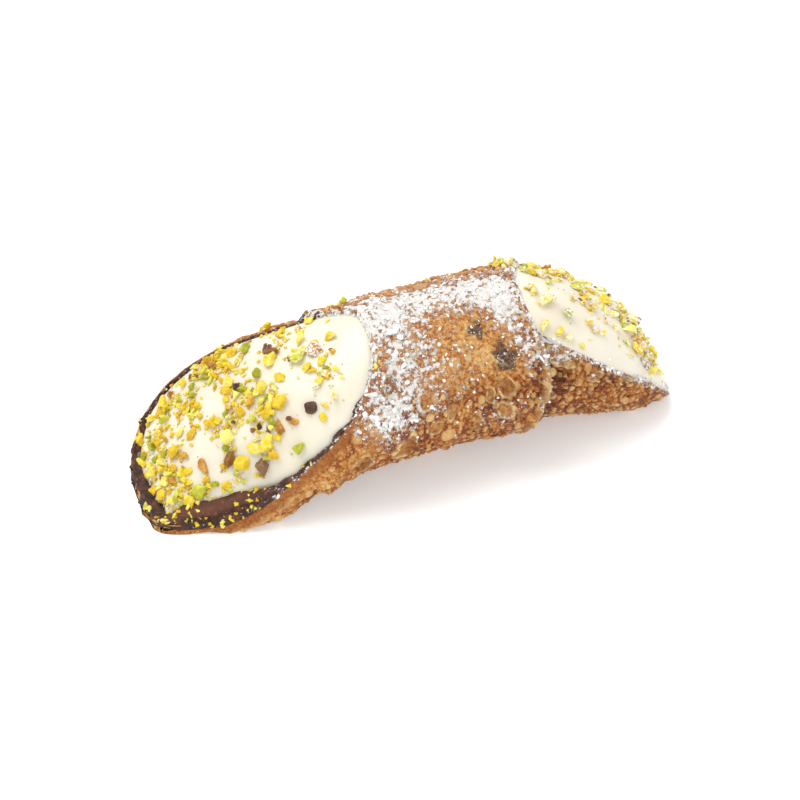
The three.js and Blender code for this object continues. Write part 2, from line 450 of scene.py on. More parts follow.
def drift(drifts, x, angle):
    total = 0.0
    for middleX, middle, along, around, amount in drifts:
        away = ((x - middleX) / along) ** 2 + (apart(angle, middle) / around) ** 2
        total = total + amount * np.exp(-away)
    return total


def farEnd(x):
    # 0 over most of the tube, 1 where the far end fried browner
    start, over = crust["farBrown"]
    return smooth((x - start) / over)


def blisterVigour(x, angle):
    # how strongly the dough has blistered: most at the far end and low down, hardly on the near lip
    low = smooth((np.abs(apart(angle, 90)) - 85) / 35)
    onLip = smooth((6 - x + rimX("near", angle)) / 3) * within(angle, 225, 60, 20)
    return (0.62 + 0.38 * np.maximum(farEnd(x), low)) * (1 - 0.92 * onLip)


def throwBlisters():
    # each blister's x, angle, radius, height and tone; large ones first, and none over another
    kept = np.zeros((0, 5))
    for small, large, tries, rise in crust["blisters"]:
        for _ in range(tries):
            x = rng.uniform(-1, 1) * tube["halfLength"]
            angle = rng.uniform(0, 360)
            radius = small + (large - small) * rng.random() ** 2
            tone = rng.random()
            luck = rng.random()
            if not rimX("near", angle) + radius < x < rimX("far", angle) - radius:
                continue
            if luck > blisterVigour(x, angle):
                continue
            gaps = np.hypot(kept[:, 0] - x, across(kept[:, 1], angle))
            if np.any(gaps < crust["spacing"] * (kept[:, 2] + radius)):
                continue
            height = rise * radius * (0.6 + 0.5 * rng.random()) * (0.5 + 0.5 * blisterVigour(x, angle))
            kept = np.vstack([kept, [x, angle, radius, height, tone]])
    return kept


def sugarCover(x, angle):
    # sugar lies where it fell from above, and in a band along the far rim that reaches further down
    upward = np.sin(angle * radians)
    fallen = drift(sugarDrifts, x, angle) * smooth((upward + 0.5) / 0.6)
    farRim = 0.75 * smooth(1 - (rimX("far", angle) - x) / 4) * smooth((upward + 0.75) / 0.5)
    return np.clip(np.maximum(fallen, farRim), 0, 1)


def raiseBlisters(dough, x, angles):
    ringAt, ringWidth = crust["blisterRing"]
    for middleX, middle, radius, height, tone in throwBlisters():
        away = np.abs(across(angles, middle))
        columns = np.flatnonzero(away < radius)
        square = ((x[:, columns] - middleX) ** 2 + away[columns] ** 2) / radius ** 2
        dome = np.sqrt(np.clip(1 - square, 0, 1))
        # a pale ring near each blister's edge: partly its thin dry wall, partly painted highlight
        ring = np.exp(-(((np.sqrt(square) - ringAt) / ringWidth) ** 2)) * tone
        higher = height * dome > dough["height"][:, columns]
        for name, value in (("height", height * dome), ("lift", dome ** 2), ("tone", tone), ("ring", ring)):
            dough[name][:, columns] = np.where(higher, value, dough[name][:, columns])


def scorchSpots(dough, bare, x, grid):
    for middleX, middle, size in scorches:
        away = np.hypot(x - middleX, across(grid, middle)) / size
        burnt = smooth((scorched["reach"] - away + layered(bare, scorched["edge"])) / scorched["fade"])
        burnt = np.maximum(dough["scorch"], burnt)
        dough["scorch"] = burnt
        dough["height"] = dough["height"] + scorched["height"] * np.exp(-(away / 0.9) ** 2)
        dough["dust"] = np.maximum(dough["dust"] * (1 - 0.6 * burnt), scorched["sugar"] * burnt)


def breakBlisters(dough, bare, x, grid):
    for middleX, middle, along, around, tilt, depth, ridge, sugar in brokenBlisters:
        dx, dy = x - middleX, across(grid, middle)
        turned = tilt * radians
        u = (dx * math.cos(turned) + dy * math.sin(turned)) / along
        v = (dy * math.cos(turned) - dx * math.sin(turned)) / around
        away = np.hypot(u, v) + layered(bare, brokenEdge["outline"])
        fromWall = away - brokenEdge["wallAt"]
        wall = ridge * np.exp(-((fromWall / brokenEdge["wallWidth"]) ** 2))
        wall = wall * (0.8 + layered(bare, brokenEdge["wall"]))
        flaky = 1.2 * np.clip(0.9 + layered(bare, brokenEdge["flakes"]), 0, 1.5)
        inside = smooth((1.0 - away) / 0.3)
        reach = smooth((1.5 - away) / 0.3)
        pale = flaky * reach * np.exp(-((fromWall / brokenEdge["paleWidth"]) ** 2))
        crumpled = layered(bare * np.array([0.5, 1, 1]), brokenEdge["floor"])
        dough["height"] = dough["height"] * (1 - reach) + reach * (wall - depth * inside) + inside * crumpled
        dough["lift"] = dough["lift"] * (1 - reach)
        dough["ring"] = np.maximum(dough["ring"] * (1 - reach), pale)
        dough["hollow"] = np.maximum(dough["hollow"], inside)
        dough["tone"] = np.where(reach > 0.3, 1.0, dough["tone"])
        dough["dust"] = np.where(inside > 0.3, np.maximum(sugar, dough["dust"] * 0.3), dough["dust"])


def shapeNearLip(dough, bare, inward, grid):
    # inward: mm in from the near rim
    bandWidth = 3 + 2.2 * bell(grid, 212, 30)
    band = smooth(1 - inward / bandWidth) * within(grid, nearLip["bandAngle"], nearLip["bandReach"], 20)
    dough["nearSkin"] = band
    dough["dust"] = dough["dust"] * (1 - band * smooth(inward / 1.2) * smooth((grid - 165) / 20))
    fromRidge = inward - nearLip["ridgeInset"] - layered(bare, nearLip["ridgeWander"])
    ridge = bell(grid, nearLip["ridgeAngle"], nearLip["ridgeSpread"], 4)
    ridge = ridge * np.exp(-((fromRidge / nearLip["ridgeHalfWidth"]) ** 2))
    ridge = ridge * np.clip(0.8 + layered(bare, nearLip["ridgeLumps"]), 0, 1.4)
    dough["height"] = dough["height"] + nearLip["ridgeHeight"] * ridge
    dough["ring"] = np.maximum(dough["ring"], 0.9 * ridge)
    dough["tone"] = np.where(ridge > 0.2, 1.0, dough["tone"])


def crustPoints():
    # the outside of the dough as a grid, rim to rim, with what its material needs at each point
    first, last = crust["closeAngles"]
    turn = np.arange(crust["around"]) / crust["around"]
    angles = np.interp(turn, [0, crust["closeShare"], 1], [first, last, first + 360]) % 360
    shares = np.linspace(0, 1, crust["along"])[:, None]
    near, far = raggedRimX("near", angles), raggedRimX("far", angles)
    x = near * (1 - shares) + far * shares
    grid = np.broadcast_to(angles, x.shape)
    bare = onTube(x, doughRadius(x, grid), grid)
    dough = {name: np.zeros_like(x) for name in ("height", "lift", "ring", "hollow", "scorch")}
    dough["tone"] = np.full_like(x, 0.5)
    raiseBlisters(dough, x, angles)
    dough["dust"] = sugarCover(x, grid)
    scorchSpots(dough, bare, x, grid)
    breakBlisters(dough, bare, x, grid)
    roll = flapRoll(x, grid)
    swollen = crust["rippleHeight"] * drift(swellings, x, grid) + edgeRoll["height"] * roll
    dough["height"] = dough["height"] + layered(bare, crust["lumps"]) + swollen
    dough["dust"] = np.clip(dough["dust"] + edgeRoll["sugar"] * roll, 0, 1)
    # the roll is drawn pale along its crest: painted highlight
    dough["ring"] = np.maximum(dough["ring"], roll)
    shapeNearLip(dough, bare, x - near, grid)
    height = dough["height"] + layered(bare, crust["grit"]) * (1 - dough["nearSkin"])
    height = height * (0.25 + 0.75 * smooth(np.minimum(x - near, far - x) / crust["edgeFade"]))
    radius = doughRadius(x, grid) + flap["thickness"] * flapCover(x, grid) + height
    # the dough between the blisters is darker at the far end and low in front: partly browner dough, partly
    # painted shade in the hollows between them and on the lower side
    front = smooth((np.abs(apart(grid, 90)) - 52) / 30) * smooth((x - near - 8) / 6)
    between = np.maximum(0.3 * farEnd(x), 0.5 * front)
    between = between * (1 - np.clip(2.2 * dough["lift"], 0, 1)) * (1 - dough["hollow"])
    dough["toastAndShade"] = np.clip(0.4 + drift(toastAndShadeDrifts, x, grid) + between, 0, 1.15)
    return angles, x, grid, radius, {name: dough[name] for name in crustFields}


def makeCrust(material):
    angles, x, grid, radius, fields = crustPoints()
    wall = wallAt(x, grid) + flap["thickness"] * flapCover(x, grid)
    steps = crust["edgeRows"]
    bends = np.arange(1, steps + 1)[:, None] / (steps + 1) * math.pi

    def roundedRim(end, row):
        # rows from the outside over the rim to the inside
        half = wall[row] / 2
        edgeX = x[row] + rims[end]["side"] * crust["edgeBulge"] * np.sin(bends)
        edgeRadius = radius[row] - half + half * np.cos(bends)
        return onTube(edgeX, edgeRadius, np.broadcast_to(angles, edgeX.shape), 0.02)

    pick = np.linspace(crust["along"] - 1, 0, crust["insideRows"]).astype(int)
    inner = doughRadius(x[pick], grid[pick]) - wallAt(x[pick], grid[pick])
    inside = onTube(x[pick], inner, grid[pick], crust["insideLowest"])
    rows = [onTube(x, radius, grid), roundedRim("far", -1), inside, roundedRim("near", 0)[::-1]]
    points = np.concatenate(rows).reshape(-1, 3)
    count = len(points) // crust["around"]
    padded = {}
    for field, values in fields.items():
        extra = np.zeros((count - crust["along"], crust["around"]))
        extra[:steps] = values[-1]
        extra[-steps:] = values[0]
        padded[field] = np.concatenate([values, extra])
    faces = loopFaces(count, crust["around"], closed=True).tolist()
    piece = makePiece("crust", points + offset, faces, material, padded)
    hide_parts("fried_shell")
    return piece


def friedDough():
    # Wheat dough rolled thin and deep-fried. Moisture blew it into blisters whose thin tops are pale
    # and dry, with painted highlight on their tops and rings, while the dough between them is browner
    # with a faint shine of oil and partly darkened with painted shade.
    material, tree = newMaterial("friedDough")
    place = add(tree, "TexCoord")["Object"]
    field = {name: add(tree, "Attribute", attribute_name=name)["Fac"] for name in crustFields}
    mottle = add(tree, "TexNoise", {"Vector": place, "Scale": perMm(7), "Detail": 3.0})["Fac"]
    grain = add(tree, "TexNoise", {"Vector": place, "Scale": perMm(0.9), "Detail": 7.0,
                                   "Roughness": 0.75})["Fac"]
    wide = add(tree, "Math", {0: mottle, 1: 0.7, 2: -0.81}, operation="MULTIPLY_ADD")[0]
    shade = add(tree, "Math", {0: grain, 1: 2.6, 2: wide}, operation="MULTIPLY_ADD")[0]
    # darker where the dough browned in frying, and where shade is painted: low in front, beside the flap's roll
    # and between the blisters
    fried = add(tree, "Math", {0: field["toastAndShade"], 1: -0.55, 2: shade}, operation="MULTIPLY_ADD")[0]
    brown = add(tree, "ValToRGB", {"Fac": fried}, stops=[
        (0.06, "#4a1c0a"), (0.32, "#974a18"), (0.54, "#c8782c"), (0.74, "#e2a24e"), (1.0, "#f8d194")])[0]
    # blister tops and rings are paler: partly the thin dry dough's own colour, partly painted highlight
    pale = add(tree, "ValToRGB", {"Fac": field["tone"]}, stops=[(0.0, "#d48a38"), (1.0, "#fbd694")])[0]
    top = add(tree, "Math", {0: field["lift"], 1: field["tone"]}, operation="MULTIPLY")[0]
    edged = add(tree, "Math", {0: field["ring"], 1: 0.75, 2: top}, operation="MULTIPLY_ADD",
                use_clamp=True)[0]
    blistered = add(tree, "MixRGB", {"Fac": edged, "Color1": brown, "Color2": pale})[0]
    inside = add(tree, "Math", {0: field["hollow"], 1: 0.4}, operation="MULTIPLY")[0]
    broken = add(tree, "MixRGB", {"Fac": inside, "Color1": blistered, "Color2": linear("#c08a58")})[0]
    patchy = add(tree, "MapRange", {"Value": grain, "From Min": 0.4, "From Max": 0.62,
                                    "To Min": 1.0, "To Max": 0.62})[0]
    burnt = add(tree, "Math", {0: field["scorch"], 1: patchy}, operation="MULTIPLY")[0]
    toasted = add(tree, "MixRGB", {"Fac": burnt, "Color1": broken, "Color2": linear("#402624")})[0]
    bare = add(tree, "Math", {0: field["nearSkin"], 1: 0.7}, operation="MULTIPLY")[0]
    skinned = add(tree, "MixRGB", {"Fac": bare, "Color1": toasted, "Color2": linear("#a35a22")})[0]

    # sugar: patches from 1.5 mm down, closing up to a full cover where much of it fell, and powder
    # between them, its grains drawn at 0.5 mm, coarser than they are, so that it shows
    speck = add(tree, "TexNoise", {"Vector": place, "Scale": perMm(1.5), "Detail": 5.0,
                                   "Roughness": 0.75})["Fac"]
    piled = add(tree, "Math", {0: field["dust"], 1: 0.3, 2: speck}, operation="MULTIPLY_ADD")[0]
    cover = add(tree, "MapRange", {"Value": piled, "From Min": 0.69, "From Max": 0.73},
                interpolation_type="SMOOTHSTEP")[0]
    fine = add(tree, "TexNoise", {"Vector": place, "Scale": perMm(0.5), "Detail": 3.0})["Fac"]
    sifted = add(tree, "Math", {0: field["dust"], 1: 0.28, 2: fine}, operation="MULTIPLY_ADD")[0]
    lying = add(tree, "MapRange", {"Value": field["dust"], "From Min": 0.08, "From Max": 0.6})[0]
    hazy = add(tree, "MapRange", {"Value": sifted, "From Min": 0.56, "From Max": 0.72, "To Max": 0.1})[0]
    powder = add(tree, "Math", {0: lying, 1: hazy}, operation="MULTIPLY")[0]
    white = add(tree, "Math", {0: cover, 1: powder}, operation="MAXIMUM")[0]
    # the sugar's faint warm tint is painted light, bounced off the brown crust
    surface = add(tree, "MixRGB", {"Fac": white, "Color1": skinned, "Color2": linear("#fffaf4")})[0]
    oily = add(tree, "MapRange", {"Value": grain, "From Min": 0.35, "From Max": 0.65,
                                  "To Min": 0.26, "To Max": 0.5})[0]
    rough = add(tree, "Math", {0: white, 1: 0.4, 2: oily}, operation="MULTIPLY_ADD", use_clamp=True)[0]
    relief = add(tree, "Math", {0: cover, 1: 0.7, 2: fine}, operation="MULTIPLY_ADD")[0]
    pits = add(tree, "Math", {0: grain, 1: 1.5, 2: relief}, operation="MULTIPLY_ADD")[0]
    bump = add(tree, "Bump", {"Height": pits, "Strength": 1.0, "Distance": 0.45 * mm})[0]
    skin = add(tree, "BsdfPrincipled", {"Base Color": surface, "Roughness": rough, "IOR": 1.4,
                                        "Normal": bump, "Subsurface Weight": 0.08,
                                        "Subsurface Radius": (1.0, 0.5, 0.25), "Subsurface Scale": 1.2 * mm})
    add(tree, "OutputMaterial", {"Surface": skin[0]})
    return material


chocolate = {
    "around": 320,
    "nearRows": 34,  # rows over the first part inside the near rim, where it shows
    "nearShare": 0.16,
    "middleRows": 6,
    "farRows": 22,
    "farShare": 0.1,
    # rows of the inside that its hidden side runs under, from the far rim back to the near one
    "hiddenRows": [-1, -8, -16, -22, 39, 38, 37, 36, 35, 34, 30, 20, 10, 0],
    "hiddenGap": 0.25,
    "faceRows": 17,  # across the rims
    "thickness": 0.8,
    "strokes": 0.3,  # how much the brush drew it out along the tube: smaller gives longer strokes
    "overRim": 0.8,  # how thick it lies on the rims
    "edgeInset": {"near": 0.6, "far": 0.9},  # how far from the crust's outside it ends there
    "edgeWander": [(0.35, 3.5, 61), (0.2, 1.2, 62)],
    "bareDough": {"near": (292, 58), "far": (264, 58)},  # angle and spread where dough shows outside it
    "rimLumps": [(0.6, 2.6, 64), (0.52, 1.1, 65), (0.34, 0.55, 67)],
    # the fold, across the rim: a smooth wave, a groove and a crumbly ridge, as height, place and width
    "foldProfile": [(2.2, 0.3, 0.2), (-1.2, 0.66, 0.12), (0.9, 0.86, 0.1)],
    "creamOver": {"near": (98, 42), "far": (110, 72)},  # where the cream comes right out over the edge
    "lowest": 1.1,  # how near the table it may come
}


def liningThickness(points):
    brushed = points * np.array([chocolate["strokes"], 1, 1])
    uneven = 0.3 * noise(points, 3.2, 51) + 0.5 * noise(brushed, 1.6, 52) + 0.12 * noise(points, 0.8, 53)
    return chocolate["thickness"] + uneven


def creamOver(end, angle):
    return bell(angle, *chocolate["creamOver"][end], 4)


def innerRadius(x, angle):
    # inside of the chocolate, which the cream meets
    return doughRadius(x, angle) - wallAt(x, angle) - chocolate["thickness"] - foldAt(x, angle)


def chocolateRim(end, x, angles, shares):
    # rows over the rim from the inside to just short of the crust's outside, then back underneath
    side = rims[end]["side"]
    base, wall = doughRadius(x, angles), wallAt(x, angles)
    ring = onTube(x, base, angles)
    over = creamOver(end, angles)
    bare = bell(angles, *chocolate["bareDough"][end], 4)
    inset = chocolate["edgeInset"][end] + 0.7 * bare + layered(ring, chocolate["edgeWander"])
    inner = base - wall - liningThickness(ring) - foldAt(x, angles)
    outer = base + flap["thickness"] * flapCover(x, angles) - inset
    folded = foldShare(angles) * (end == "near")
    thick = (chocolate["overRim"] + 0.3 * noise(ring, 2.6, 63)) * (1 - 0.75 * over) * (1 - 0.6 * bare)
    rows = []
    for share in shares:
        radius = inner + (outer - inner) * share
        place = onTube(x, radius, angles)
        lifted = thick * np.sin(math.pi * share) ** 0.5
        lifted = lifted + layered(place, chocolate["rimLumps"]) * (1 - 0.6 * over)
        wave, groove, ridge = (height * math.exp(-(((share - middle) / width) ** 2))
                               for height, middle, width in chocolate["foldProfile"])
        lifted = lifted + folded * (wave + groove + ridge * (1 + 0.8 * noise(place, 1.4, 66)))
        out = side * (crust["edgeBulge"] * 0.8 * (1 - 0.8 * bare) + lifted)
        rows.append(onTube(x + out, radius, angles, chocolate["lowest"]))
    rows.append(onTube(x + side * 0.2, outer, angles, chocolate["lowest"]))
    rows.append(onTube(x - side * 0.5, base - wall * 0.6, angles, 1.0))
    return np.array(rows)


def liningDust(x, turned, overRim):
    # sugar fell on both ends' tops, hardly under the near rim, and lies along the near rim's outer edge
    near, far = x < 0, x > 0
    dust = 0.2 + 0.75 * bell(turned, 100, 52, 4) * near + (0.5 + 0.4 * bell(turned, 130, 85, 4)) * far
    dust = dust - 0.3 * (np.abs(apart(turned, 270)) < 60) * near + 0.5 * (x > 62)
    return dust + 0.26 * bell(turned, 205, 42, 4) * near * smooth((overRim - 0.66) / 0.15)


def makeLining(material):
    angles = np.arange(chocolate["around"]) * 360 / chocolate["around"]
    near, far = raggedRimX("near", angles), raggedRimX("far", angles)
    first, last = chocolate["nearShare"], 1 - chocolate["farShare"]
    shares = np.concatenate([
        np.linspace(0, first, chocolate["nearRows"], endpoint=False),
        np.linspace(first, last, chocolate["middleRows"], endpoint=False),
        np.linspace(last, 1, chocolate["farRows"]),
    ])[:, None]
    x = near * (1 - shares) + far * shares
    grid = np.broadcast_to(angles, x.shape)
    wallRadius = doughRadius(x, grid) - wallAt(x, grid)
    thickness = liningThickness(onTube(x, wallRadius, grid)) + foldAt(x, grid)
    inner = onTube(x, wallRadius - thickness, grid, 2.9)

    hiddenX = x[chocolate["hiddenRows"]]
    hiddenGrid = grid[: len(hiddenX)]
    hiddenRadius = doughRadius(hiddenX, hiddenGrid) - wallAt(hiddenX, hiddenGrid) + chocolate["hiddenGap"]
    hidden = onTube(hiddenX, hiddenRadius, hiddenGrid, 1.7)

    rimShares = np.linspace(0, 1, chocolate["faceRows"] + 2)[1:-1]
    rows = np.concatenate([inner, chocolateRim("far", far, angles, rimShares), hidden,
                           chocolateRim("near", near, angles, rimShares)[::-1]])
    faces = loopFaces(len(rows), chocolate["around"], closed=True).tolist()
    points = rows.reshape(-1, 3)
    turned = np.broadcast_to(angles, rows.shape[:2]).ravel()
    # how far across the rim each row lies
    away = [0.0] * len(inner) + [*rimShares, 1, 1] + [0.0] * len(hidden) + [1, 1, *rimShares[::-1]]
    overRim = np.repeat(away, chocolate["around"])
    # where the chocolate's painted highlight lies: along the crest of the fold on the near lip
    folded = foldShare(turned) * (points[:, 0] < -30) * np.exp(-(((overRim - 0.3) / 0.26) ** 2))
    fields = {"dust": liningDust(points[:, 0], turned, overRim), "folded": folded}
    piece = makePiece("chocolateCoat", points + offset, faces, material, fields)
    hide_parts("chocolate_lining")
    return piece


def brushedChocolate():
    # Dark chocolate melted and brushed on, set in the air: a half-dull skin, uneven from the brush,
    # with crumbs of the shell in it, and a painted highlight along the crest of its fold.
    material, tree = newMaterial("brushedChocolate")
    place = add(tree, "TexCoord")["Object"]
    patch = add(tree, "TexNoise", {"Vector": place, "Scale": perMm(2.2), "Detail": 6.0,
                                   "Roughness": 0.65})["Fac"]
    shade = add(tree, "ValToRGB", {"Fac": patch},
                stops=[(0.35, "#281610"), (0.52, "#4c2c22"), (0.66, "#7c4a36")])[0]
    folded = add(tree, "Attribute", attribute_name="folded")["Fac"]
    # painted highlight: a lighter reddish brown along the crest of the fold on the near lip
    foldHighlight = add(tree, "Math", {0: folded, 1: 0.6}, operation="MULTIPLY")[0]
    shade = add(tree, "MixRGB", {"Fac": foldHighlight, "Color1": shade, "Color2": linear("#84492f")})[0]
    crumb = add(tree, "TexNoise", {"Vector": place, "Scale": perMm(1.1), "Detail": 6.0,
                                   "Roughness": 0.75})["Fac"]
    crumbs = add(tree, "MapRange", {"Value": crumb, "From Min": 0.56, "From Max": 0.68, "To Max": 0.55})[0]
    crumbed = add(tree, "MixRGB", {"Fac": crumbs, "Color1": shade, "Color2": linear("#a87848")})[0]
    dust = add(tree, "Attribute", attribute_name="dust")["Fac"]
    fine = add(tree, "TexNoise", {"Vector": place, "Scale": perMm(0.9), "Detail": 4.0,
                                  "Roughness": 0.7})["Fac"]
    piled = add(tree, "Math", {0: dust, 1: 0.34, 2: fine}, operation="MULTIPLY_ADD")[0]
    cover = add(tree, "MapRange", {"Value": piled, "From Min": 0.66, "From Max": 0.74, "To Max": 0.9})[0]
    surface = add(tree, "MixRGB", {"Fac": cover, "Color1": crumbed, "Color2": linear("#fbf8f5")})[0]
    bump = add(tree, "Bump", {"Height": crumb, "Strength": 1.0, "Distance": 0.6 * mm})[0]
    rough = add(tree, "MapRange", {"Value": patch, "From Min": 0.3, "From Max": 0.7,
                                   "To Min": 0.38, "To Max": 0.6})[0]
    skin = add(tree, "BsdfPrincipled", {"Base Color": surface, "Roughness": rough, "IOR": 1.47,
                                        "Normal": bump})
    add(tree, "OutputMaterial", {"Surface": skin[0]})
    return material


cream = {
    "around": 256,
    "rings": 64,
    "bodyRows": 10,
    # how far it stands back from the rim, by angle
    "inset": {
        "near": [(20, 0.3), (72, -0.3), (120, -0.3), (165, 0.2), (195, 0.8), (222, 2.0), (236, 3.0),
                 (252, 3.4), (270, 2.8), (300, 1.6), (350, 0.6)],
        "far": [(30, 0.2), (90, -0.2), (128, -0.2), (200, 0), (250, 0.4), (280, 0.6), (330, 0.4)],
    },
    "dome": {"near": 4.8, "far": 7.2},
    "edgeRise": {"near": 1.0, "far": 0.9},
    "overhang": 1.0,  # where it comes out over the rims
}


def creamEdge(end, angles):
    x = raggedRimX(end, angles) - rims[end]["side"] * byAngle(cream["inset"][end], angles)
    ring = onTube(x, innerRadius(x, angles), angles)
    x = x - rims[end]["side"] * 0.5 * np.abs(noise(ring, 5, 74))
    over = creamOver(end, angles)
    x = x + rims[end]["side"] * cream["overhang"] * over
    return onTube(x, innerRadius(x, angles) + 0.25 + cream["overhang"] * over, angles, 3.1)


def creamCap(end, angles):
    # a smooth surface across the mouth: each wave of the edge dies out towards the middle
    edge = creamEdge(end, angles)
    waves = np.fft.rfft(edge, axis=0)
    order = np.arange(len(waves))[:, None]
    run = rims[end]["notchX"] - rims[end]["side"] * tube["halfLength"]
    tall = 2 * tube["radius"]
    outward = np.array([-tall * np.sign(run), 0, abs(run)]) / math.hypot(tall, run)
    shares = 1 - (np.arange(cream["rings"]) / cream["rings"]) ** 1.25
    rows = []
    for share in shares:
        flat = np.fft.irfft(waves * share ** order, n=len(angles), axis=0)
        rise = cream["dome"][end] * (1 - share ** 2) + cream["edgeRise"][end] * (1 - share ** 26)
        ripple = 0.28 * noise(flat, 9, 71) + 0.1 * noise(flat, 3.5, 72)
        rows.append(flat + outward * (rise + ripple * smooth((1 - share) / 0.15))[:, None])
    middle = rows[-1].mean(0)
    return np.array(rows), middle


def makeCream(material):
    angles = np.arange(cream["around"]) * 360 / cream["around"]
    near, nearMiddle = creamCap("near", angles)
    far, farMiddle = creamCap("far", angles)
    shares = np.linspace(0, 1, cream["bodyRows"] + 2)[1:-1, None]
    x = near[0][:, 0] * (1 - shares) + far[0][:, 0] * shares
    grid = np.broadcast_to(angles, x.shape)
    body = onTube(x, innerRadius(x, grid) - 0.3, grid, 3.1)
    points = np.concatenate([near[::-1], body, far]).reshape(-1, 3)
    count = cream["around"]
    faces = loopFaces(len(points) // count, count).tolist()
    first, last = len(points), len(points) + 1
    end = len(points) - count
    faces += [[first, (k + 1) % count, k] for k in range(count)]
    faces += [[last, end + k, end + (k + 1) % count] for k in range(count)]
    points = np.vstack([points, nearMiddle, farMiddle])
    # sugar fell over the edge where the cream comes out over the rims
    fade = np.exp(-(np.arange(cream["rings"]) / cream["rings"])[:, None] / 0.06)
    nearDust = 0.5 * creamOver("near", angles) * fade
    farDust = 0.4 * creamOver("far", angles) * fade + 0.03
    none = np.zeros((cream["bodyRows"], count))
    dust = np.concatenate([nearDust[::-1].ravel(), none.ravel(), farDust.ravel(), [0, 0]])
    piece = makePiece("ricottaCream", points + offset, faces, material, {"dust": dust})
    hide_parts("ricotta_filling")
    return piece


def ricottaCream():
    # Sieved ricotta beaten with sugar: moist, dense and fine-grained, so light sinks in a little and
    # softens its shadows. The near end was smoothed with a knife.
    material, tree = newMaterial("ricottaCream")
    place = add(tree, "TexCoord")["Object"]
    cloud = add(tree, "TexNoise", {"Vector": place, "Scale": perMm(14), "Detail": 2.0})["Fac"]
    shade = add(tree, "ValToRGB", {"Fac": cloud}, stops=[(0.3, "#ece3ce"), (0.7, "#f1ebdc")])[0]
    cells = add(tree, "TexVoronoi", {"Vector": place, "Scale": perMm(3.2)})
    near = add(tree, "MapRange", {"Value": cells["Distance"], "From Min": 0.05, "From Max": 0.09,
                                  "To Min": 1.0, "To Max": 0.0})[0]
    few = add(tree, "SeparateColor", {0: cells["Color"]})[0]
    chosen = add(tree, "Math", {0: few, 1: 0.86}, operation="GREATER_THAN")[0]
    fleck = add(tree, "Math", {0: near, 1: chosen}, operation="MULTIPLY")[0]
    surface = add(tree, "MixRGB", {"Fac": fleck, "Color1": shade, "Color2": linear("#c79a78")})[0]
    fine = add(tree, "TexNoise", {"Vector": place, "Scale": perMm(0.7), "Detail": 2.0})["Fac"]
    bump = add(tree, "Bump", {"Height": fine, "Strength": 0.5, "Distance": 0.1 * mm})[0]
    skin = add(tree, "BsdfPrincipled", {"Base Color": surface, "Roughness": 0.42, "IOR": 1.4, "Normal": bump,
                                        "Subsurface Weight": 0.5, "Subsurface Radius": (1.0, 0.8, 0.55),
                                        "Subsurface Scale": 2.2 * mm})
    add(tree, "OutputMaterial", {"Surface": skin[0]})
    return material


bits = {
    "cuts": (8, 13),  # knife cuts on each
    "templates": 16,
    "dust": 0.46,  # sugar on them
    "cleanDust": 0.12,  # its share on those listed one by one at the near end, which hardly caught any
    "spacing": 0.36,  # how far apart two may lie, for each mm of size
    "tilt": 0.3,
    "sunk": (0.4, 0.9),  # how high their middle lies above the surface, as a share of half their height
    "fineAbove": {"placed": 3.5, "scattered": 4.3},  # from which size they get the finer shapes
    "peeled": 0.09,  # share of them that kept a patch of the dark skin
    "y": (-21, 21),
    "crumbCount": 1290,
    "crumbSizes": (0.35, 1.5),
    "crumbShare": 0.72,  # of them at the near end
    "crumbX": {"near": (-69, -12), "far": (27, 63.5)},
    "rimCount": 120,  # crumbs and small flakes stuck to the chocolate of the near rim
    "rimSizes": (0.35, 2.65),
    "rimAngle": (264, 42),  # where on the rim, and how far to both sides
}

# kind: share of the bits, sizes in mm (small, large), flatness, colours
kinds = {
    "pistachioYellow": (0.8, (1.2, 4.6), 0.5, ("#deb41c", "#edd028", "#f8ec80")),
    "pistachioGreen": (0.13, (2.0, 4.4), 0.6, ("#a0a022", "#c2c430", "#e2df5c")),
    "pistachioToasted": (0.025, (1.8, 4.2), 0.7, ("#8a5a20", "#c0862c", "#e4b446")),
    "pistachioSkin": (0.006, (1.8, 3.8), 0.45, ("#4a2f28", "#6b4834", "#8f6a42")),
}
